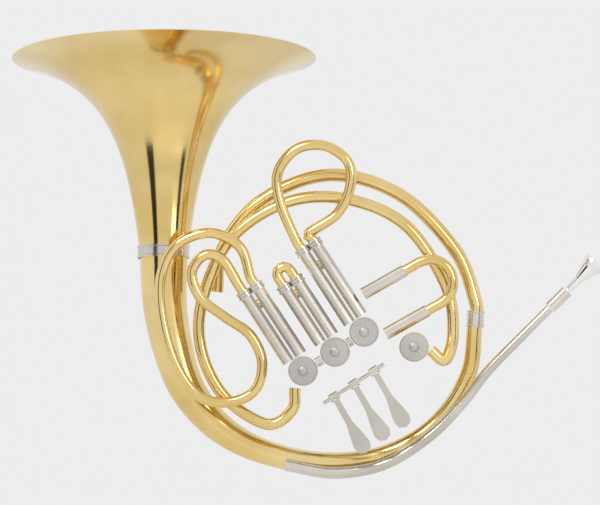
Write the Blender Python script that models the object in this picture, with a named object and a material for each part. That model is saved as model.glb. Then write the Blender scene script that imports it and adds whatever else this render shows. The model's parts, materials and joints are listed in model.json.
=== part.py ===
"""Double french horn, upright, mouth of the bell at the top, valves to the front.

Sizes are in millimetres from the axis of the second valve: x to the right,
y away from the player's fingers, z up. Objects are made in metres.
"""
import math

import bmesh
import bpy
from mathutils import Matrix, Vector

MM = 0.001

# Bell
BELL_MOUTH_R = 152.0
BELL_FLARE_LENGTH = 195.0
BELL_FLARE_START = 50.0
BELL_FLARE_POWER = 1.136
BELL_WALL = 1.2
BELL_TILT = math.radians(10.7)
BELL_MOUTH = (-171.0, 66.0, 294.0)

# Valves
ROW_ANGLE = math.radians(33.0)
VALVE_PLACES = {"valve_1": (-32.0, -19.0), "valve_2": (0.0, 0.0),
                "valve_3": (29.0, 20.0), "thumb_valve": (79.0, 5.0)}
CASING_R = 15.0
CASING_BORE_R = 12.3
CASING_HALF = 31.0
ROTOR_R = 12.0
ROTOR_HALF = 27.0
CAP_R = 14.6
SPINDLE_R = 2.6

# Slides
LEG_OFFSET = 7.2
SLEEVE_R = 6.3
SLEEVE_BORE_R = 5.6
LEG_R = 5.3
FRONT_LAYER = -14.0
BACK_LAYER = 14.0
CLEAR = 0.3
MAIN_SLIDE_START = (28.0, 58.0)
MAIN_SLIDE_SPREAD = 46.0
MAIN_SLIDE_ANGLE = math.radians(29.4)

# Levers
AXLE_V = -37.0
AXLE_Y = -24.0
AXLE_R = 1.8
AXLE_HALF = 36.0
LEVER_ALONG = (-25.0, -1.5, 22.5)
LEVER_BORE_R = 2.1
LEVER_HUB_R = 4.2
PADDLE_ANGLE = math.radians(-60.0)

BRASS = ((0.83, 0.62, 0.22, 1.0), 0.16, 1.0)
NICKEL = ((0.66, 0.62, 0.56, 1.0), 0.22, 1.0)
SILVER = ((0.86, 0.86, 0.86, 1.0), 0.12, 1.0)

for old in list(bpy.data.objects):
    bpy.data.objects.remove(old, do_unlink=True)

HORN = bpy.data.collections.new("double_french_horn")
bpy.context.scene.collection.children.link(HORN)


def finish(obj, look):
    """Give an object its own material and put it in the horn's collection."""
    colour, roughness, metallic = look
    mat = bpy.data.materials.new(obj.name + "_finish")
    mat.use_nodes = True
    shader = mat.node_tree.nodes["Principled BSDF"]
    shader.inputs["Base Color"].default_value = colour
    shader.inputs["Roughness"].default_value = roughness
    shader.inputs["Metallic"].default_value = metallic
    obj.data.materials.append(mat)
    HORN.objects.link(obj)
    return obj


def facing(direction):
    """Rotation that turns local +Z onto a direction."""
    return Vector(direction).normalized().to_track_quat("Z", "Y").to_matrix().to_4x4()


def turned(name, profile, place, direction, look, steps=24):
    """Turn a closed profile of (radius, height) points about an axis."""
    mesh = bpy.data.meshes.new(name)
    bm = bmesh.new()
    verts = [bm.verts.new((r * MM, 0.0, h * MM)) for r, h in profile]
    edges = [bm.edges.new((a, b)) for a, b in zip(verts, verts[1:])]
    if profile[0][0] > 0.0:
        edges.append(bm.edges.new((verts[-1], verts[0])))
    bmesh.ops.spin(bm, geom=verts + edges, axis=(0, 0, 1), cent=(0, 0, 0),
                   angle=2 * math.pi, steps=steps, use_merge=True)
    bmesh.ops.remove_doubles(bm, verts=bm.verts, dist=1e-6)
    bmesh.ops.recalc_face_normals(bm, faces=bm.faces)
    bm.to_mesh(mesh)
    bm.free()
    mesh.shade_smooth()
    mesh.set_sharp_from_angle(angle=math.radians(35))
    obj = bpy.data.objects.new(name, mesh)
    obj.matrix_world = Matrix.Translation(Vector(place) * MM) @ facing(direction)
    return finish(obj, look)


def ring_profile(inner, outer, low, high):
    """Section of a plain sleeve."""
    return [(inner, low), (outer, low), (outer, high), (inner, high)]


def smooth_path(points, step=9.0):
    """Points at an even step along a Catmull-Rom curve through (x, y, z, radius)."""
    pts = [Vector(p) for p in points]
    pts = [pts[0] * 2 - pts[1]] + pts + [pts[-1] * 2 - pts[-2]]
    path = []
    for a, b, c, d in zip(pts, pts[1:], pts[2:], pts[3:]):
        count = max(1, round((c - b).length / step))
        for i in range(count):
            t = i / count
            path.append(0.5 * (2 * b + (c - a) * t + (2 * a - 5 * b + 4 * c - d) * t * t
                               + (3 * b - a - 3 * c + d) * t ** 3))
    path.append(pts[-2])
    return path


def tube(name, points, look, step=9.0):
    """Round tube along a smooth path; each point is (x, y, z, radius)."""
    path = smooth_path(points, step)
    data = bpy.data.curves.new(name, "CURVE")
    data.dimensions = "3D"
    data.bevel_depth = MM
    data.bevel_resolution = 2
    data.use_fill_caps = True
    spline = data.splines.new("POLY")
    spline.points.add(len(path) - 1)
    for point, (x, y, z, radius) in zip(spline.points, path):
        point.co = (x * MM, y * MM, z * MM, 1.0)
        point.radius = radius
    return finish(bpy.data.objects.new(name, data), look)


def row_point(valve, along, across):
    """Front-view point from a valve: along the row of valves, then up its slides."""
    x, z = VALVE_PLACES[valve]
    c, s = math.cos(ROW_ANGLE), math.sin(ROW_ANGLE)
    return (x + along * c - across * s, z + along * s + across * c)


SLIDE_DIR = (-math.sin(ROW_ANGLE), 0.0, math.cos(ROW_ANGLE))
ROW_DIR = (math.cos(ROW_ANGLE), 0.0, math.sin(ROW_ANGLE))


def valve(name):
    """Casing, rotor on its spindle, and the engraved-looking front cap."""
    x, z = VALVE_PLACES[name]
    turned(name + "_casing", ring_profile(CASING_BORE_R, CASING_R, -CASING_HALF, CASING_HALF),
           (x, 0, z), (0, -1, 0), BRASS if name == "thumb_valve" else NICKEL, steps=24)
    cap = [(0, CASING_HALF + CLEAR), (CAP_R, CASING_HALF + CLEAR), (CAP_R, CASING_HALF + 2.4),
           (CAP_R - 1.2, CASING_HALF + 3.4), (5.0, CASING_HALF + 3.4), (4.4, CASING_HALF + 5.4),
           (2.4, CASING_HALF + 6.6), (0, CASING_HALF + 6.9)]
    turned(name + "_cap", cap, (x, 0, z), (0, -1, 0), NICKEL, steps=20)
    rotor = [(0, -CASING_HALF - 7), (SPINDLE_R, -CASING_HALF - 7), (SPINDLE_R, -ROTOR_HALF),
             (ROTOR_R, -ROTOR_HALF), (ROTOR_R, ROTOR_HALF), (SPINDLE_R, ROTOR_HALF),
             (SPINDLE_R, CASING_HALF - 0.5), (0, CASING_HALF - 0.5)]
    turned(name + "_rotor", rotor, (x, 0, z), (0, -1, 0), BRASS, steps=16)
    plate = ring_profile(SPINDLE_R + CLEAR, CAP_R, CASING_HALF + CLEAR, CASING_HALF + 3.0)
    turned(name + "_back_plate", plate, (x, 0, z), (0, 1, 0), NICKEL, steps=24)


def sleeves(name, valve_name, layer, length):
    """The two fixed outer tubes that a valve slide runs in."""
    for side, along in (("left", -LEG_OFFSET), ("right", LEG_OFFSET)):
        x, z = row_point(valve_name, along, CASING_R + CLEAR)
        turned(f"{name}_sleeve_{side}", ring_profile(SLEEVE_BORE_R, SLEEVE_R, 0, length),
               (x, layer, z), SLIDE_DIR, NICKEL, steps=12)


def crook(name, valve_name, layer, length, loop=None):
    """The sliding inner tube: two straight legs and the bend that joins them."""
    start = CASING_R + 14.0
    mouth = CASING_R + length
    legs = [row_point(valve_name, -LEG_OFFSET, v) for v in (start, mouth - 8, mouth + 2, mouth + 8)]
    back = [row_point(valve_name, LEG_OFFSET, v) for v in (mouth + 8, mouth + 2, mouth - 8, start)]
    if loop is None:
        loop = [row_point(valve_name, -LEG_OFFSET * math.cos(t),
                          mouth + 8 + LEG_OFFSET * math.sin(t))
                for t in (math.radians(a) for a in (30, 60, 90, 120, 150))]
    points = [(x, layer, z, LEG_R) for x, z in legs + loop + back]
    tube(name, points, BRASS, step=10.0)


def lever(name, along):
    """Finger lever: a hub on the axle with a long spoon-shaped touch piece."""
    x, z = row_point("valve_2", along, AXLE_V)
    hub = [(LEVER_BORE_R, -5), (LEVER_HUB_R, -5), (LEVER_HUB_R, 5), (LEVER_BORE_R, 5)]
    tip = Vector((math.cos(PADDLE_ANGLE), 0, math.sin(PADDLE_ANGLE)))
    side = Vector((-tip.z, 0, tip.x))
    data = bpy.data.curves.new(name, "CURVE")
    data.dimensions = "2D"
    data.fill_mode = "BOTH"
    data.extrude = 1.0 * MM
    outline = [(3.0, 3.0), (30.0, 3.4), (46.0, 7.0), (56.0, 8.6), (62.0, 6.6), (65.0, 0.0)]
    outline += [(d, -w) for d, w in reversed(outline[:-1])]
    spline = data.splines.new("POLY")
    spline.points.add(len(outline) - 1)
    spline.use_cyclic_u = True
    for point, (d, w) in zip(spline.points, outline):
        point.co = (d * MM, w * MM, 0, 1)
    frame = Matrix((( tip.x, side.x, 0, 0), (0, 0, -1, 0), (tip.z, side.z, 0, 0), (0, 0, 0, 1)))
    plate = bpy.data.objects.new(name + "_flat", data)
    plate.matrix_world = Matrix.Translation(Vector((x, AXLE_Y - 3.0, z)) * MM) @ frame
    bpy.context.scene.collection.objects.link(plate)
    bpy.context.view_layer.update()
    graph = bpy.context.evaluated_depsgraph_get()
    flat = bpy.data.meshes.new_from_object(plate.evaluated_get(graph))
    flat.transform(plate.matrix_world)
    bpy.data.objects.remove(plate, do_unlink=True)
    bm = bmesh.new()
    bm.from_mesh(flat)
    bmesh.ops.remove_doubles(bm, verts=bm.verts, dist=1e-6)
    bmesh.ops.recalc_face_normals(bm, faces=bm.faces)
    bm.to_mesh(flat)
    bm.free()
    paddle = bpy.data.objects.new(name + "_paddle_shape", flat)
    bpy.context.scene.collection.objects.link(paddle)
    paddle.hide_render = True
    paddle.display_type = "WIRE"
    obj = turned(name, hub, (x, AXLE_Y, z), ROW_DIR, NICKEL, steps=16)
    join = obj.modifiers.new("paddle", "BOOLEAN")
    join.operation = "UNION"
    join.object = paddle
    return obj


def horn():
    """Every piece of the horn."""
    def flare(d):
        return BELL_MOUTH_R * (BELL_FLARE_START / (d + BELL_FLARE_START)) ** BELL_FLARE_POWER

    depths = [0, 4, 12, 24, 40, 62, 92, 135, BELL_FLARE_LENGTH]
    outer = [(flare(d), -d) for d in depths]
    inner = [(flare(d) - BELL_WALL, -d + (1.0 if d == 0 else 0.0)) for d in reversed(depths)]
    turned("bell_flare", outer + inner, BELL_MOUTH, (0, math.sin(BELL_TILT), math.cos(BELL_TILT)),
           BRASS, steps=36)
    tube("bell_branch", [(-171.3, 28.2, 96.5, 24.2), (-170.5, 26.5, 52, 22.5), (-163, 26, 7, 20.5),
                         (-147, 25, -38, 18), (-115, 24, -76, 15), (-70, 22, -100, 12.5),
                         (-10, 20, -111, 11), (50, 20, -103, 10), (100, 20, -73, 9),
                         (133, 20, -23, 8.3), (140, 20, 32, 7.8)], BRASS, step=16.0)
    tube("outer_branch", [(140.5, 20, 33.4, 7.2), (140, 20, 52, 7.2), (120, 20, 102, 7), (65, 20, 157, 6.8),
                          (-5, 20, 177, 6.6), (-73, 20, 152, 6.4), (-112, 20, 105, 6.2),
                          (-118, 20, 60, 6.2)], BRASS, step=16.0)
    tube("inner_branch", [(-40, 0, -36, 6), (-43, 0, -58, 6), (-68, 0, -72, 6),
                          (-110, 0, -45, 6), (-133, 0, 0, 6), (-133, 0, 50, 6), (-105, 0, 112, 6),
                          (-50, 0, 149, 6), (10, 0, 153, 6), (70, 0, 127, 6), (110, 0, 68, 6),
                          (118, 0, 20, 6), (110, 0, -8, 6), (95.5, 0, 2, 6)], BRASS, step=16.0)
    tube("leadpipe", [(215, 0, 44, 4.6), (180, 0, 9, 4.8), (152, 0, -20, 5), (127, 0, -52, 5.2),
                      (95, 0, -84, 5.4), (50, 0, -112, 5.6), (0, 0, -121, 5.8),
                      (-50, 0, -113, 5.8)], NICKEL, step=16.0)
    pipe_dir = (35, 0, 35)
    turned("mouthpiece_receiver", ring_profile(3.6, 6.4, 0.4, 24), (215, 0, 44), pipe_dir, NICKEL,
           steps=18)
    piece = [(2.0, 6), (3.2, 6), (3.4, 26), (4.4, 40), (6.2, 46), (9.0, 56), (12.6, 62),
             (12.6, 65), (9.4, 66), (5.6, 58), (2.0, 48)]
    turned("mouthpiece", piece, (215, 0, 44), pipe_dir, SILVER, steps=24)

    for name in VALVE_PLACES:
        valve(name)
    for low, high in (("1", "2"), ("2", "3")):
        a, b = (Vector(VALVE_PLACES["valve_" + n]) for n in (low, high))
        gap = (b - a).length - 2 * (CASING_R + CLEAR)
        mid = (a + b) / 2
        along = (b - a).normalized()
        turned(f"knuckle_{low}_{high}", ring_profile(3.6, 5.0, -gap / 2, gap / 2),
               (mid.x, 0, mid.y), (along.x, 0, along.y), NICKEL, steps=16)

    long_loop = [(-95, 105), (-125, 119), (-158, 107), (-174, 75), (-172, 30), (-158, -15),
                 (-135, -45), (-105, -50), (-80, -38), (-73, -10), (-85, 17), (-110, 35),
                 (-135, 55), (-143, 80), (-130, 97), (-112, 92)]
    bulb_loop = [(-55, 150), (-57, 180), (-38, 203), (-10, 206), (13, 190), (15, 165), (2, 138)]
    sleeves("valve_1_f", "valve_1", FRONT_LAYER, 85)
    crook("valve_1_f_slide", "valve_1", FRONT_LAYER, 85, long_loop[::-1])
    sleeves("valve_2_f", "valve_2", FRONT_LAYER, 70)
    crook("valve_2_f_slide", "valve_2", FRONT_LAYER, 70)
    sleeves("valve_3_f", "valve_3", FRONT_LAYER, 90)
    crook("valve_3_f_slide", "valve_3", FRONT_LAYER, 90, bulb_loop)
    for name, length in (("valve_1", 50), ("valve_2", 40), ("valve_3", 50)):
        sleeves(name + "_b", name, BACK_LAYER, length)
        crook(name + "_b_slide", name, BACK_LAYER, length)

    c, s = math.cos(MAIN_SLIDE_ANGLE), math.sin(MAIN_SLIDE_ANGLE)
    x0, z0 = MAIN_SLIDE_START

    def main_point(out, down):
        return (x0 + out * c + down * s, FRONT_LAYER, z0 + out * s - down * c)

    for side, down in (("upper", 0.0), ("lower", MAIN_SLIDE_SPREAD)):
        turned(f"main_sleeve_{side}", ring_profile(SLEEVE_BORE_R, SLEEVE_R, 0, 48),
               main_point(0, down), (c, 0, s), NICKEL, steps=16)
    half = MAIN_SLIDE_SPREAD / 2
    bend = [main_point(64 + half * math.sin(t), half - half * math.cos(t))
            for t in (math.radians(a) for a in (0, 30, 60, 90, 120, 150, 180))]
    run = [main_point(14, 0), main_point(40, 0), main_point(50, 0), main_point(57, 0)] + bend
    run += [main_point(out, 2 * half) for out in (57, 50, 40, 14)]
    tube("main_tuning_slide", [(*p, LEG_R) for p in run], BRASS, step=10.0)

    x, z = row_point("valve_2", -AXLE_HALF + LEVER_ALONG[1], AXLE_V)
    turned("lever_axle", [(0, 0), (AXLE_R, 0), (AXLE_R, 2 * AXLE_HALF), (0, 2 * AXLE_HALF)],
           (x, AXLE_Y, z), ROW_DIR, NICKEL, steps=12)
    for number, along in enumerate(LEVER_ALONG, 1):
        lever(f"lever_{number}", along)


horn()
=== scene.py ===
# %% [markdown]
# A double french horn, finished for a studio picture. The imported solids are the frame: every
# piece here keeps the place and the size that they give.

# %% Load the frame
import json
import math

import bmesh
import bpy
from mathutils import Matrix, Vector


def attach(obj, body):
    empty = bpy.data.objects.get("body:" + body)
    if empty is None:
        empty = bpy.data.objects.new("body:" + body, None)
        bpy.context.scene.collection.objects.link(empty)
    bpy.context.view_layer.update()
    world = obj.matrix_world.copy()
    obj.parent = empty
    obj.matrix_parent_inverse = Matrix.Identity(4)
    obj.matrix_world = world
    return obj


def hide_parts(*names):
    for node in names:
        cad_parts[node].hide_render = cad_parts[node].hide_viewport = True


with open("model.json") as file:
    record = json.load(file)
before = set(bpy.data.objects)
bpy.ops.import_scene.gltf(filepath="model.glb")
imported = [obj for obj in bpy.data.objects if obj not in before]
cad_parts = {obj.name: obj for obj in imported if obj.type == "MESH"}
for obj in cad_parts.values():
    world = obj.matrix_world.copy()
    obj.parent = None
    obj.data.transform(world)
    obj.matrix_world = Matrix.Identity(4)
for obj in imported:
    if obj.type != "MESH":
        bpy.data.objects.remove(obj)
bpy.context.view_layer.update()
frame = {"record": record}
slots = {entry["node"]: entry["material_slot"] for entry in frame["record"]["subparts"]}
MM = 0.001
print("nodes:", len(slots))

# %% [markdown]
# Polished metal is mostly what it mirrors, so one flat colour looks like plastic. The colour and
# the roughness drift slowly over the tube, as hand buffing leaves them, and a fine bump breaks
# the mirror. Noise on Object coordinates does this at real scale and needs no UV map. Lacquer
# over brass is a coat with crisp highlights of its own, which the bare metals do without.


# %% Make a polished metal
CLOUD_SCALE = 14.0
CLOUD_DETAIL = 3.0
TINT_LOW = 0.3
TINT_HIGH = 0.7
LACQUER_ROUGHNESS = 0.05
BUMP_DISTANCE = 0.0002


def metal(name, dark, light, rough, drift, coat, grain, depth):
    """Polished metal with a slow drift in colour and a fine buffed grain."""
    mat = bpy.data.materials.new(name)
    mat.use_nodes = True
    nodes = mat.node_tree.nodes
    links = mat.node_tree.links
    shader = nodes["Principled BSDF"]
    shader.inputs["Metallic"].default_value = 1.0
    shader.inputs["Coat Weight"].default_value = coat
    shader.inputs["Coat Roughness"].default_value = LACQUER_ROUGHNESS
    place = nodes.new("ShaderNodeTexCoord")
    cloud = nodes.new("ShaderNodeTexNoise")
    cloud.inputs["Scale"].default_value = CLOUD_SCALE
    cloud.inputs["Detail"].default_value = CLOUD_DETAIL
    links.new(place.outputs["Object"], cloud.inputs["Vector"])
    tint = nodes.new("ShaderNodeValToRGB")
    tint.color_ramp.elements[0].color = dark
    tint.color_ramp.elements[0].position = TINT_LOW
    tint.color_ramp.elements[1].color = light
    tint.color_ramp.elements[1].position = TINT_HIGH
    links.new(cloud.outputs["Fac"], tint.inputs["Fac"])
    links.new(tint.outputs["Color"], shader.inputs["Base Color"])
    spread = nodes.new("ShaderNodeMapRange")
    spread.inputs["To Min"].default_value = rough - drift
    spread.inputs["To Max"].default_value = rough + drift
    links.new(cloud.outputs["Fac"], spread.inputs["Value"])
    links.new(spread.outputs["Result"], shader.inputs["Roughness"])
    fine = nodes.new("ShaderNodeTexNoise")
    fine.inputs["Scale"].default_value = grain
    links.new(place.outputs["Object"], fine.inputs["Vector"])
    bump = nodes.new("ShaderNodeBump")
    bump.inputs["Strength"].default_value = depth
    bump.inputs["Distance"].default_value = BUMP_DISTANCE
    links.new(fine.outputs["Fac"], bump.inputs["Height"])
    links.new(bump.outputs["Normal"], shader.inputs["Normal"])
    return mat


# %% [markdown]
# A horn wears three metals. Its body, bell and slides are yellow brass under lacquer. Its
# leadpipe, sleeves, ferrules and levers are nickel silver, which is greyer and a little softer
# in its gloss. The mouthpiece is silver plated and nearly a mirror. The caps of the valves are
# nickel silver too, but satin, so they get a rougher finish with a finer and deeper grain.

# %% The horn's finishes
BRASS = metal("lacquered_brass", (0.74, 0.52, 0.17, 1), (0.90, 0.70, 0.32, 1),
              rough=0.13, drift=0.03, coat=0.5, grain=900.0, depth=0.05)
NICKEL = metal("nickel_silver", (0.56, 0.52, 0.46, 1), (0.76, 0.72, 0.66, 1),
               rough=0.19, drift=0.05, coat=0.0, grain=1200.0, depth=0.08)
SATIN = metal("engraved_nickel", (0.36, 0.34, 0.32, 1), (0.60, 0.57, 0.54, 1),
              rough=0.38, drift=0.06, coat=0.0, grain=2600.0, depth=0.6)
SILVER = metal("silver_plate", (0.82, 0.82, 0.82, 1), (0.92, 0.92, 0.91, 1),
               rough=0.08, drift=0.02, coat=0.0, grain=900.0, depth=0.03)
FINISH = {"yellow_brass": BRASS, "nickel_silver": NICKEL, "silver_plate": SILVER}
print("finishes:", [mat.name for mat in (BRASS, NICKEL, SATIN, SILVER)])

# %% [markdown]
# The solids that are right as they stand keep their meshes and only take a finish. Their slot in
# the record says which metal they are.

# %% Finish the solids of the frame
for node, slot in slots.items():
    solid = bpy.data.objects[node]
    solid.data.materials.clear()
    solid.data.materials.append(SATIN if node.endswith("_cap") else FINISH[slot])
print("finished nodes:", len(slots))

# %% [markdown]
# Bent tubes need a finer surface than the frame carries. A curve with a round bevel is the
# shortest way to one: its points follow the same smooth path as the solid's, closer together,
# and each point's radius makes the taper. A Catmull-Rom curve passes through all of the points
# that it is given, so each of them says where the middle of the tube really is.

# %% Draw a fine tube
PATH_STEP = 2.5
BEVEL_RESOLUTION = 14


def smooth_path(points):
    """Points along a Catmull-Rom curve through (x, y, z, radius), in millimetres."""
    pts = [Vector(p) for p in points]
    pts = [pts[0] * 2 - pts[1]] + pts + [pts[-1] * 2 - pts[-2]]
    path = []
    for a, b, c, d in zip(pts, pts[1:], pts[2:], pts[3:]):
        count = max(1, round((c - b).length / PATH_STEP))
        for i in range(count):
            t = i / count
            path.append(0.5 * (2 * b + (c - a) * t + (2 * a - 5 * b + 4 * c - d) * t * t
                               + (3 * b - a - 3 * c + d) * t ** 3))
    path.append(pts[-2])
    return path


def fine_tube(node, points, mat, body="horn"):
    """A smooth tube that stands for a node of the frame."""
    path = smooth_path(points)
    data = bpy.data.curves.new(node + "_tube", "CURVE")
    data.dimensions = "3D"
    data.bevel_depth = MM
    data.bevel_resolution = BEVEL_RESOLUTION
    data.use_fill_caps = True
    spline = data.splines.new("POLY")
    spline.points.add(len(path) - 1)
    for point, (x, y, z, radius) in zip(spline.points, path):
        point.co = (x * MM, y * MM, z * MM, 1.0)
        point.radius = radius
    spline.use_smooth = True
    data.materials.append(mat)
    obj = bpy.data.objects.new(node + "_tube", data)
    bpy.context.scene.collection.objects.link(obj)
    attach(obj, body)
    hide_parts(node)
    print(obj.name, "points:", len(path))
    return obj


# %% [markdown]
# The body of the horn is a tube that widens towards the bell. The bell branch is its widest
# part, and runs down behind the slides and round the bottom. The outer branch carries it on over
# the top. The inner branch keeps one width, and runs mostly inside them and a layer nearer to
# the camera. Each point is a place and a radius.

# %% Branches of the body
fine_tube("bell_branch", [(-171.3, 28.2, 96.5, 24.2), (-170.5, 26.5, 52, 22.5),
                          (-163, 26, 7, 20.5), (-147, 25, -38, 18), (-115, 24, -76, 15),
                          (-70, 22, -100, 12.5), (-10, 20, -111, 11), (50, 20, -103, 10),
                          (100, 20, -73, 9), (133, 20, -23, 8.3), (140, 20, 32, 7.8)], BRASS)
fine_tube("outer_branch", [(140.5, 20, 33.4, 7.2), (140, 20, 52, 7.2), (120, 20, 102, 7),
                           (65, 20, 157, 6.8), (-5, 20, 177, 6.6), (-73, 20, 152, 6.4),
                           (-112, 20, 105, 6.2), (-118, 20, 60, 6.2)], BRASS)
fine_tube("inner_branch", [(-40, 0, -36, 6), (-43, 0, -58, 6), (-68, 0, -72, 6),
                           (-110, 0, -45, 6), (-133, 0, 0, 6), (-133, 0, 50, 6),
                           (-105, 0, 112, 6), (-50, 0, 149, 6), (10, 0, 153, 6),
                           (70, 0, 127, 6), (110, 0, 68, 6), (118, 0, 20, 6),
                           (110, 0, -8, 6), (95.5, 0, 2, 6)], BRASS)

# %% [markdown]
# The leadpipe takes the breath from the mouthpiece down into the horn. It is nickel silver, and
# it widens slowly until it is under the valves.

# %% Leadpipe
fine_tube("leadpipe", [(215, 0, 44, 4.6), (180, 0, 9, 4.8), (152, 0, -20, 5),
                       (127, 0, -52, 5.2), (95, 0, -84, 5.4), (50, 0, -112, 5.6),
                       (0, 0, -121, 5.8), (-50, 0, -113, 5.8)], NICKEL)

# %% [markdown]
# The valves stand in a slanted row, and their slides point square off it. So a point of a slide
# is easiest to give as a distance along the row and a distance up from its valve.

# %% Places along the row of valves
ROW = math.radians(33.0)
SLIDE_DIRECTION = (-math.sin(ROW), 0, math.cos(ROW))
VALVES = {"valve_1": (-32.0, -19.0), "valve_2": (0.0, 0.0), "valve_3": (29.0, 20.0)}
CASING_R = 15.0
LEG_OFFSET = 7.2
FRONT_LAYER = -14.0
BACK_LAYER = 14.0
FRONT_LENGTHS = {"valve_1": 85, "valve_2": 70, "valve_3": 90}
BACK_LENGTHS = {"valve_1": 50, "valve_2": 40, "valve_3": 50}


def row_point(valve, along, across):
    """Front-view point from a valve: along the row of valves, then up its slides."""
    x, z = VALVES[valve]
    c, s = math.cos(ROW), math.sin(ROW)
    return (x + along * c - across * s, z + along * s + across * c)


# %% [markdown]
# Each slide is one bent tube: two straight legs that run in the sleeves, and a bend between
# them. It rides on its own body, so that it draws out along its sleeves. The legs have points
# on both sides of the sleeve's mouth, which keeps the curve straight while it is inside.

# %% Shape a valve slide
LEG_R = 5.3
LEG_START = 14.0
STRAIGHT_INSIDE = 8
STRAIGHT_OUTSIDE = 2
BEND_START = 8
BEND_ANGLES = (30, 60, 90, 120, 150)


def slide(valve, row_name, layer, length, loop=None):
    """The bent tube of one valve slide."""
    mouth = CASING_R + length
    stops = (CASING_R + LEG_START, mouth - STRAIGHT_INSIDE, mouth + STRAIGHT_OUTSIDE,
             mouth + BEND_START)
    left = [row_point(valve, -LEG_OFFSET, v) for v in stops]
    right = [row_point(valve, LEG_OFFSET, v) for v in reversed(stops)]
    if loop is None:
        loop = [row_point(valve, -LEG_OFFSET * math.cos(math.radians(a)),
                          mouth + BEND_START + LEG_OFFSET * math.sin(math.radians(a)))
                for a in BEND_ANGLES]
    node = f"{valve}_{row_name}_slide"
    return fine_tube(node, [(x, layer, z, LEG_R) for x, z in left + loop + right], BRASS, node)


# %% [markdown]
# In the front row, the first valve's slide swings out to the left in a long loop that turns
# back inside itself, and the third valve's rises in a bulb over the top of the body. The second
# valve's is a plain bend, and so are all three of the back row.

# %% Valve slides
LONG_LOOP = [(-112, 92), (-130, 97), (-143, 80), (-135, 55), (-110, 35), (-85, 17), (-73, -10),
             (-80, -38), (-105, -50), (-135, -45), (-158, -15), (-172, 30), (-174, 75),
             (-158, 107), (-125, 119), (-95, 105)]
BULB_LOOP = [(-55, 150), (-57, 180), (-38, 203), (-10, 206), (13, 190), (15, 165), (2, 138)]
LOOPS = {"valve_1": LONG_LOOP, "valve_3": BULB_LOOP}

for valve, length in FRONT_LENGTHS.items():
    slide(valve, "f", FRONT_LAYER, length, LOOPS.get(valve))
for valve, length in BACK_LENGTHS.items():
    slide(valve, "b", BACK_LAYER, length)

# %% [markdown]
# The main tuning slide is a wide U that opens towards the valves. Its points are given along
# its own legs and across them, so that the bend is simply a half circle between the two legs.

# %% Main tuning slide
MAIN_ANGLE = math.radians(29.4)
MAIN_START = (28, 58)
MAIN_LEG_STOPS = (14, 40, 50, 57)
MAIN_BEND_OUT = 64
MAIN_BEND_ANGLES = range(0, 181, 30)
HALF_SPREAD = 23.0


def main_point(out, down):
    """Point of the main slide: out along its legs, then down across them."""
    c, s = math.cos(MAIN_ANGLE), math.sin(MAIN_ANGLE)
    x, z = MAIN_START
    return (x + out * c + down * s, FRONT_LAYER, z + out * s - down * c, LEG_R)


bend = [main_point(MAIN_BEND_OUT + HALF_SPREAD * math.sin(math.radians(a)),
                   HALF_SPREAD - HALF_SPREAD * math.cos(math.radians(a)))
        for a in MAIN_BEND_ANGLES]
run = [main_point(out, 0) for out in MAIN_LEG_STOPS] + bend
run += [main_point(out, 2 * HALF_SPREAD) for out in reversed(MAIN_LEG_STOPS)]
fine_tube("main_tuning_slide", run, BRASS, "main_tuning_slide")

# %% [markdown]
# Turned and spun pieces share one way of making: a closed section is drawn in the plane of the
# axis and spun a full turn, which gives the outer and the inner wall at once. The normals are
# recalculated after the seam is merged, because a spin can leave the shape inside out.

# %% Spin a section
MERGE = 1e-6


def spun(name, section, place, along, steps, crease, mat):
    """A piece spun from a closed section of (radius, height), in millimetres."""
    bm = bmesh.new()
    verts = [bm.verts.new((r * MM, 0, h * MM)) for r, h in section]
    edges = [bm.edges.new((a, b)) for a, b in zip(verts, verts[1:] + verts[:1])]
    bmesh.ops.spin(bm, geom=verts + edges, axis=(0, 0, 1), cent=(0, 0, 0),
                   angle=2 * math.pi, steps=steps, use_merge=True)
    bmesh.ops.remove_doubles(bm, verts=bm.verts, dist=MERGE)
    bmesh.ops.recalc_face_normals(bm, faces=bm.faces)
    bm.transform(Vector(along).normalized().to_track_quat("Z", "Y").to_matrix().to_4x4())
    bmesh.ops.translate(bm, vec=Vector(place) * MM, verts=bm.verts)
    mesh = bpy.data.meshes.new(name)
    bm.to_mesh(mesh)
    bm.free()
    mesh.shade_smooth()
    mesh.set_sharp_from_angle(angle=math.radians(crease))
    mesh.materials.append(mat)
    obj = bpy.data.objects.new(name, mesh)
    bpy.context.scene.collection.objects.link(obj)
    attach(obj, "horn")
    print(name, "faces:", len(mesh.polygons))
    return obj


# %% [markdown]
# Where two tubes of the body are joined, a nickel silver ferrule goes over the joint. It is a
# short ring with a raised bead at each end. Two sit on the body. A smaller one stiffens the mouth
# of each front sleeve, where a slide goes in.

# %% Ferrules
FERRULE_WALL = 0.9
BEAD = 0.7
BEAD_LENGTH = 1.6
BEAD_SLOPE = 2.2
FERRULE_STEPS = 64
FERRULE_CREASE = 35
SLEEVE_FERRULE_R = 6.35
SLEEVE_FERRULE_LENGTH = 7
SLEEVE_FERRULE_BACK = 4


def ferrule(name, place, along, radius, length):
    """A beaded ring round a joint or a mouth of a tube."""
    h = length / 2
    wall = radius + FERRULE_WALL
    bead = wall + BEAD
    section = [(radius, -h), (bead, -h), (bead, -h + BEAD_LENGTH), (wall, -h + BEAD_SLOPE),
               (wall, h - BEAD_SLOPE), (bead, h - BEAD_LENGTH), (bead, h), (radius, h)]
    obj = spun(name, section, place, along, FERRULE_STEPS, FERRULE_CREASE, NICKEL)
    return obj


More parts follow.
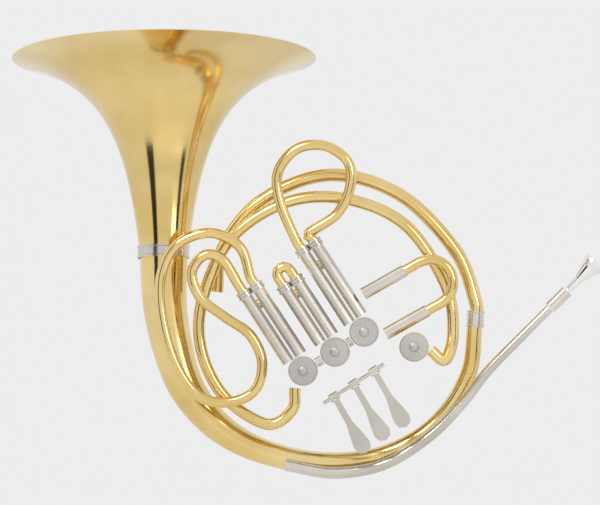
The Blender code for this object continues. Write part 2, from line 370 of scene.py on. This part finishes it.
ferrule("bell_ferrule", (-171.6, 29.0, 99.5), (0, 0.12, 1), 24.9, 12)
ferrule("branch_ferrule", (140.3, 20, 33), (0.05, 0, 1), 7.9, 16)
for valve, length in FRONT_LENGTHS.items():
    for side, along in (("left", -LEG_OFFSET), ("right", LEG_OFFSET)):
        x, z = row_point(valve, along, CASING_R + length - SLEEVE_FERRULE_BACK)
        ferrule(f"{valve}_ferrule_{side}", (x, FRONT_LAYER, z), SLIDE_DIRECTION,
                SLEEVE_FERRULE_R, SLEEVE_FERRULE_LENGTH)

# %% [markdown]
# The bell is spun from sheet brass. Its outline follows a power law, slow in the throat and fast
# at the mouth, so one formula gives every ring. The rings crowd towards the mouth, where the
# outline turns most. The inner edge of the rim stands up a little, so that it catches the light.

# %% Bell
MOUTH_R = 152.0
FLARE_LENGTH = 195.0
FLARE_START = 50.0
FLARE_POWER = 1.136
WALL = 1.2
RIM_LIFT = 1.0
TILT = math.radians(10.7)
MOUTH = (-171.0, 66.0, 294.0)
RINGS = 60
RING_CROWDING = 1.6
BELL_STEPS = 144
BELL_CREASE = 50


def flare(depth):
    """Outer radius of the bell at a depth below its mouth."""
    return MOUTH_R * (FLARE_START / (depth + FLARE_START)) ** FLARE_POWER


depths = [FLARE_LENGTH * (i / RINGS) ** RING_CROWDING for i in range(RINGS + 1)]
section = [(flare(d), -d) for d in depths]
section += [(flare(d) - WALL, -d + (RIM_LIFT if d == 0 else 0.0)) for d in reversed(depths)]
bell = spun("spun_bell", section, MOUTH, (0, math.sin(TILT), math.cos(TILT)), BELL_STEPS,
            BELL_CREASE, BRASS)
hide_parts("bell_flare")

# %% [markdown]
# The picture looks square on to the valve caps. A view without perspective keeps one scale over
# the whole horn, so the frame of the picture is simply its width in metres.

# %% Camera
PICTURE_WIDTH = 0.6
PICTURE_CENTRE = (-0.035, 0.0995)
CAMERA_DISTANCE = 2.0
UPRIGHT = math.radians(90)

cam_data = bpy.data.cameras.new("camera")
cam_data.type = "ORTHO"
cam_data.ortho_scale = PICTURE_WIDTH
camera = bpy.data.objects.new("camera", cam_data)
camera.location = (PICTURE_CENTRE[0], -CAMERA_DISTANCE, PICTURE_CENTRE[1])
camera.rotation_euler = (UPRIGHT, 0, 0)
bpy.context.scene.collection.objects.link(camera)
bpy.context.scene.camera = camera
print("picture width:", PICTURE_WIDTH)

# %% [markdown]
# Metal needs something dark to mirror as well as something bright, or its shape is lost. So two
# dark cards stand in front of the horn, one to each side. The horn mirrors them, and the camera
# doesn't see them. The floor is a pale card that lies under the horn, and the camera may see it.

# %% Floor and cards
CARD_ROUGHNESS = 0.9
FLOOR_HEIGHT = -0.26
PALE = (0.85, 0.85, 0.84, 1)
DARK = (0.01, 0.01, 0.01, 1)


def card(name, place, size, turn, colour, shown=False):
    """A flat card of the studio, which the metal mirrors and the camera may not see."""
    bm = bmesh.new()
    bmesh.ops.create_grid(bm, x_segments=1, y_segments=1, size=0.5)
    mesh = bpy.data.meshes.new(name)
    bm.to_mesh(mesh)
    bm.free()
    obj = bpy.data.objects.new(name, mesh)
    obj.location = place
    obj.scale = (size[0], size[1], 1)
    obj.rotation_euler = turn
    mat = bpy.data.materials.new(name)
    mat.use_nodes = True
    mat.node_tree.nodes["Principled BSDF"].inputs["Base Color"].default_value = colour
    mat.node_tree.nodes["Principled BSDF"].inputs["Roughness"].default_value = CARD_ROUGHNESS
    mesh.materials.append(mat)
    bpy.context.scene.collection.objects.link(obj)
    obj.visible_camera = shown
    print(name, "size:", size)
    return obj


card("floor", (0, 0, FLOOR_HEIGHT), (8, 8), (0, 0, 0), PALE, shown=True)
card("dark_card_left", (-1.1, -1.2, 0.1), (0.5, 2.0), (UPRIGHT, 0, math.radians(-40)), DARK)
card("dark_card_right", (1.3, -1.0, 0.1), (0.35, 2.0), (UPRIGHT, 0, math.radians(50)), DARK)

# %% [markdown]
# Most of the light comes from a plain white world. Two soft lamps, one high on the left and a
# weaker one on the right, add the highlights that run along the tubes.

# %% World and lamps
WORLD_STRENGTH = 0.85
LAMP_SIZE = 0.8
LAMPS = {"key": ((-0.8, -1.6, 1.6), 14.0), "fill": ((1.2, -1.4, 0.6), 6.0)}

world = bpy.data.worlds.new("studio")
world.use_nodes = True
world.node_tree.nodes["Background"].inputs["Color"].default_value = (1, 1, 1, 1)
world.node_tree.nodes["Background"].inputs["Strength"].default_value = WORLD_STRENGTH
bpy.context.scene.world = world

for name, (place, power) in LAMPS.items():
    lamp = bpy.data.lights.new(name, "AREA")
    lamp.energy = power
    lamp.size = LAMP_SIZE
    holder = bpy.data.objects.new(name, lamp)
    holder.location = place
    holder.rotation_euler = (-Vector(place)).to_track_quat("-Z", "Y").to_euler()
    bpy.context.scene.collection.objects.link(holder)

bpy.context.scene.view_settings.view_transform = "Standard"
print("lamps:", len(LAMPS))

# %% [markdown]
# The dressed horn has to be as large as the frame says. The last line brings the scene up to
# date.

# %% Update the scene
bpy.context.view_layer.update()
